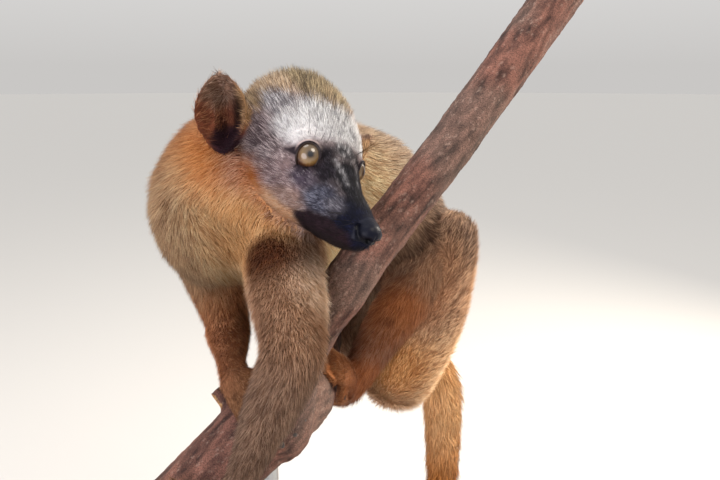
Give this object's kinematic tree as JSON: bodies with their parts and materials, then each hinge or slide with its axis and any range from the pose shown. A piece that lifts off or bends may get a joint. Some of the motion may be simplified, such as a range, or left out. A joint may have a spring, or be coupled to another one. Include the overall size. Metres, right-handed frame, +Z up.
{
  "type": "red-fronted brown lemur, life-size still model on a branch and display stand",
  "caption": "Life-size lemur squatting in the fork of a cut branch, head turned aside and tail hanging, held over a flat base by upright rods.",
  "frame": {"origin": "centre of the stand base's underside, on the floor", "axes": "+Z up; -Y is the side that the animal's chest looks to; its turned head looks towards +X and -Y"},
  "size_m": [0.32, 0.3086, 0.6877],
  "materials": {
    "fur_crown": "short grizzled grey, white and rusty brown fur, black muzzle",
    "fur_ruff": "soft orange to cream fur of cheeks and throat",
    "fur_body": "dense matt grey-brown fur, grizzled",
    "fur_rump": "dense matt rusty orange fur",
    "fur_tail": "bushy ginger fur",
    "hand_skin": "dark bare skin under short brown fur",
    "eye_ball": "golden amber iris under a clear wet cornea",
    "bark": "rough reddish-brown bark, bare pale wood at the saw cuts",
    "stand_board": "board stained black, satin lacquer",
    "stand_steel": "satin black paint on steel rod"
  },
  "bodies": {
    "root": {"chest": "fur_body", "ear_left": "fur_crown", "ear_right": "fur_crown", "eye_left": "eye_ball", "eye_right": "eye_ball", "foot_left": "hand_skin", "foot_right": "hand_skin", "forearm_left": "fur_body", "forearm_right": "fur_body", "hand_left": "hand_skin", "hand_right": "hand_skin", "head": "fur_crown", "loin": "fur_body", "lower_leg_left": "fur_rump", "lower_leg_right": "fur_rump", "neck": "fur_ruff", "perch_branch": "bark", "rump": "fur_rump", "stand_base": "stand_board", "stand_collar_front": "stand_steel", "stand_collar_rear": "stand_steel", "stand_rod_front": "stand_steel", "stand_rod_rear": "stand_steel", "tail_1": "fur_tail", "tail_2": "fur_tail", "tail_3": "fur_tail", "tail_4": "fur_tail", "thigh_left": "fur_body", "thigh_right": "fur_body", "upper_arm_left": "fur_body", "upper_arm_right": "fur_body"}
  },
  "joints": []
}
